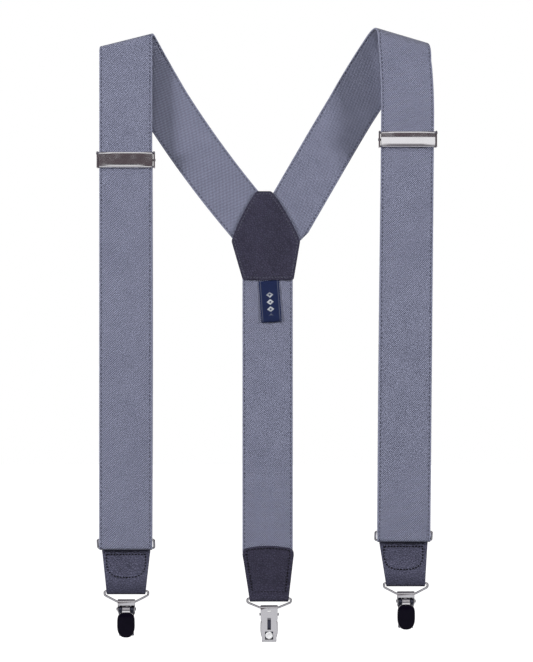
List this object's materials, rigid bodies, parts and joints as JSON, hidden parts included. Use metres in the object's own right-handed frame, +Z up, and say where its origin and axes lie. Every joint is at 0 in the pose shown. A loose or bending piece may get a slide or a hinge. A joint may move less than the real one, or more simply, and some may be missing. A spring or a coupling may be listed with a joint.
{
  "type": "clip-on suspenders",
  "caption": "Y-back clip-on suspenders: wide elastic straps, leather yoke and tabs, sliding lever adjusters, wire rings and three lever clips hung on wire bails.",
  "frame": {"origin": "between the two shoulder loops, at the height of what the loops hang on", "axes": "+Z up along the straps, +X across the straps, -Y the way the outer face of the front straps looks"},
  "size_m": [0.2443, 0.0297, 0.4445],
  "materials": {
    "elastic": "fine woven elastic, matt with a slight sheen",
    "leather": "semi-matt, fine pebbled grain",
    "chrome": "polished",
    "enamel": "gloss black enamel",
    "label": "woven damask",
    "nylon": "smooth",
    "thread": "twisted sewing thread"
  },
  "bodies": {
    "harness": {"yoke_inner_leather": "leather", "yoke_outer_leather": "leather", "back_strap_elastic": "elastic", "woven_label": "label", "back_tab_leather": "leather", "left_strap_shoulder": "elastic", "left_strap_diagonal": "elastic", "left_strap_front_run": "elastic", "right_strap_shoulder": "elastic", "right_strap_diagonal": "elastic", "right_strap_front_run": "elastic"},
    "left_front_end": {"left_strap_ring_turn": "elastic", "left_strap_return_run": "elastic"},
    "left_ring_body": {"left_ring": "chrome"},
    "left_tab_body": {"left_tab_leather": "leather"},
    "left_adjuster": {"left_adjuster_frame": "chrome", "left_adjuster_bar": "chrome", "left_strap_end_loop": "elastic"},
    "left_adjuster_lever_body": {"left_adjuster_lever": "chrome"},
    "left_bail_body": {"left_bail": "chrome"},
    "left_clip_body": {"left_clip_plate": "chrome", "left_clip_pin": "chrome", "left_clip_grip": "nylon"},
    "left_clip_jaw_body": {"left_clip_jaw": "chrome"},
    "left_clip_lever_body": {"left_clip_lever": "chrome", "left_clip_enamel": "enamel"},
    "right_front_end": {"right_strap_ring_turn": "elastic", "right_strap_return_run": "elastic"},
    "right_ring_body": {"right_ring": "chrome"},
    "right_tab_body": {"right_tab_leather": "leather"},
    "right_adjuster": {"right_adjuster_frame": "chrome", "right_adjuster_bar": "chrome", "right_strap_end_loop": "elastic"},
    "right_adjuster_lever_body": {"right_adjuster_lever": "chrome"},
    "right_bail_body": {"right_bail": "chrome"},
    "right_clip_body": {"right_clip_plate": "chrome", "right_clip_pin": "chrome", "right_clip_grip": "nylon"},
    "right_clip_jaw_body": {"right_clip_jaw": "chrome"},
    "right_clip_lever_body": {"right_clip_lever": "chrome", "right_clip_enamel": "enamel"},
    "back_bail_body": {"back_bail": "chrome"},
    "back_clip_body": {"back_clip_plate": "chrome", "back_clip_pin": "chrome", "back_clip_grip": "nylon"},
    "back_clip_jaw_body": {"back_clip_jaw": "chrome"},
    "back_clip_lever_body": {"back_clip_lever": "chrome", "back_clip_enamel": "enamel"}
  },
  "joints": [
    {"name": "left_length_adjust", "type": "slide", "parent": "harness", "child": "left_front_end", "axis": [-0.0004, 0, -1], "range_m": [-0.005, 0.24], "deforming": ["left_strap_front_run"]},
    {"name": "left_adjuster_slide", "type": "slide", "parent": "left_front_end", "child": "left_adjuster", "axis": [-0.0004, 0, -1], "range_m": [-0.005, 0.24], "deforming": ["left_strap_return_run"]},
    {"name": "left_adjuster_lever_flip", "type": "hinge", "parent": "left_adjuster", "child": "left_adjuster_lever_body", "pos_m": [-0.1012, -0.009, -0.0824], "axis": [-1, 0, 0], "range_deg": [0, 100]},
    {"name": "left_ring_swing", "type": "hinge", "parent": "left_front_end", "child": "left_ring_body", "pos_m": [-0.1012, -0.0051, -0.3591], "axis": [1, 0, 0], "range_deg": [0, 28]},
    {"name": "left_tab_swing", "type": "hinge", "parent": "left_ring_body", "child": "left_tab_body", "pos_m": [-0.1012, -0.0007, -0.3657], "axis": [1, 0, 0], "range_deg": [-30, 60]},
    {"name": "left_bail_swing", "type": "hinge", "parent": "left_tab_body", "child": "left_bail_body", "pos_m": [-0.1012, -0.0007, -0.3967], "axis": [1, 0, 0], "range_deg": [-55, 55]},
    {"name": "left_clip_swing", "type": "hinge", "parent": "left_bail_body", "child": "left_clip_body", "pos_m": [-0.1012, -0.0007, -0.4043], "axis": [1, 0, 0], "range_deg": [-35, 35]},
    {"name": "left_clip_lever_flip", "type": "hinge", "parent": "left_clip_body", "child": "left_clip_lever_body", "pos_m": [-0.1012, -0.0023, -0.4093], "axis": [-1, 0, 0], "range_deg": [0, 95]},
    {"name": "left_clip_jaw_open", "type": "hinge", "parent": "left_clip_body", "child": "left_clip_jaw_body", "pos_m": [-0.1012, -0.0023, -0.4093], "axis": [-1, 0, 0], "range_deg": [0, 20]},
    {"name": "right_length_adjust", "type": "slide", "parent": "harness", "child": "right_front_end", "axis": [-0.01, 0, -0.9999], "range_m": [-0.005, 0.24], "deforming": ["right_strap_front_run"]},
    {"name": "right_adjuster_slide", "type": "slide", "parent": "right_front_end", "child": "right_adjuster", "axis": [-0.01, 0, -0.9999], "range_m": [-0.005, 0.24], "deforming": ["right_strap_return_run"]},
    {"name": "right_adjuster_lever_flip", "type": "hinge", "parent": "right_adjuster", "child": "right_adjuster_lever_body", "pos_m": [0.1009, -0.009, -0.0677], "axis": [-1, 0, 0], "range_deg": [0, 100]},
    {"name": "right_ring_swing", "type": "hinge", "parent": "right_front_end", "child": "right_ring_body", "pos_m": [0.0998, -0.0051, -0.3534], "axis": [1, 0, 0], "range_deg": [0, 28]},
    {"name": "right_tab_swing", "type": "hinge", "parent": "right_ring_body", "child": "right_tab_body", "pos_m": [0.0998, -0.0007, -0.36], "axis": [1, 0, 0], "range_deg": [-30, 60]},
    {"name": "right_bail_swing", "type": "hinge", "parent": "right_tab_body", "child": "right_bail_body", "pos_m": [0.0998, -0.0007, -0.391], "axis": [1, 0, 0], "range_deg": [-55, 55]},
    {"name": "right_clip_swing", "type": "hinge", "parent": "right_bail_body", "child": "right_clip_body", "pos_m": [0.0998, -0.0007, -0.3986], "axis": [1, 0, 0], "range_deg": [-35, 35]},
    {"name": "right_clip_lever_flip", "type": "hinge", "parent": "right_clip_body", "child": "right_clip_lever_body", "pos_m": [0.0998, -0.0023, -0.4036], "axis": [-1, 0, 0], "range_deg": [0, 95]},
    {"name": "right_clip_jaw_open", "type": "hinge", "parent": "right_clip_body", "child": "right_clip_jaw_body", "pos_m": [0.0998, -0.0023, -0.4036], "axis": [-1, 0, 0], "range_deg": [0, 20]},
    {"name": "back_bail_swing", "type": "hinge", "parent": "harness", "child": "back_bail_body", "pos_m": [0.0015, 0.0045, -0.4027], "axis": [1, 0, 0], "range_deg": [-55, 55]},
    {"name": "back_clip_swing", "type": "hinge", "parent": "back_bail_body", "child": "back_clip_body", "pos_m": [0.0015, 0.0045, -0.4093], "axis": [1, 0, 0], "range_deg": [-35, 35]},
    {"name": "back_clip_lever_flip", "type": "hinge", "parent": "back_clip_body", "child": "back_clip_lever_body", "pos_m": [0.0015, 0.0061, -0.4143], "axis": [1, 0, 0], "range_deg": [0, 95]},
    {"name": "back_clip_jaw_open", "type": "hinge", "parent": "back_clip_body", "child": "back_clip_jaw_body", "pos_m": [0.0015, 0.0061, -0.4143], "axis": [1, 0, 0], "range_deg": [0, 20]}
  ],
  "couplings": [
    {"joint": "left_adjuster_slide", "follows": "left_length_adjust", "ratio": 1},
    {"joint": "left_clip_jaw_open", "follows": "left_clip_lever_flip", "ratio": 0.2},
    {"joint": "right_adjuster_slide", "follows": "right_length_adjust", "ratio": 1},
    {"joint": "right_clip_jaw_open", "follows": "right_clip_lever_flip", "ratio": 0.2},
    {"joint": "back_clip_jaw_open", "follows": "back_clip_lever_flip", "ratio": 0.2}
  ]
}
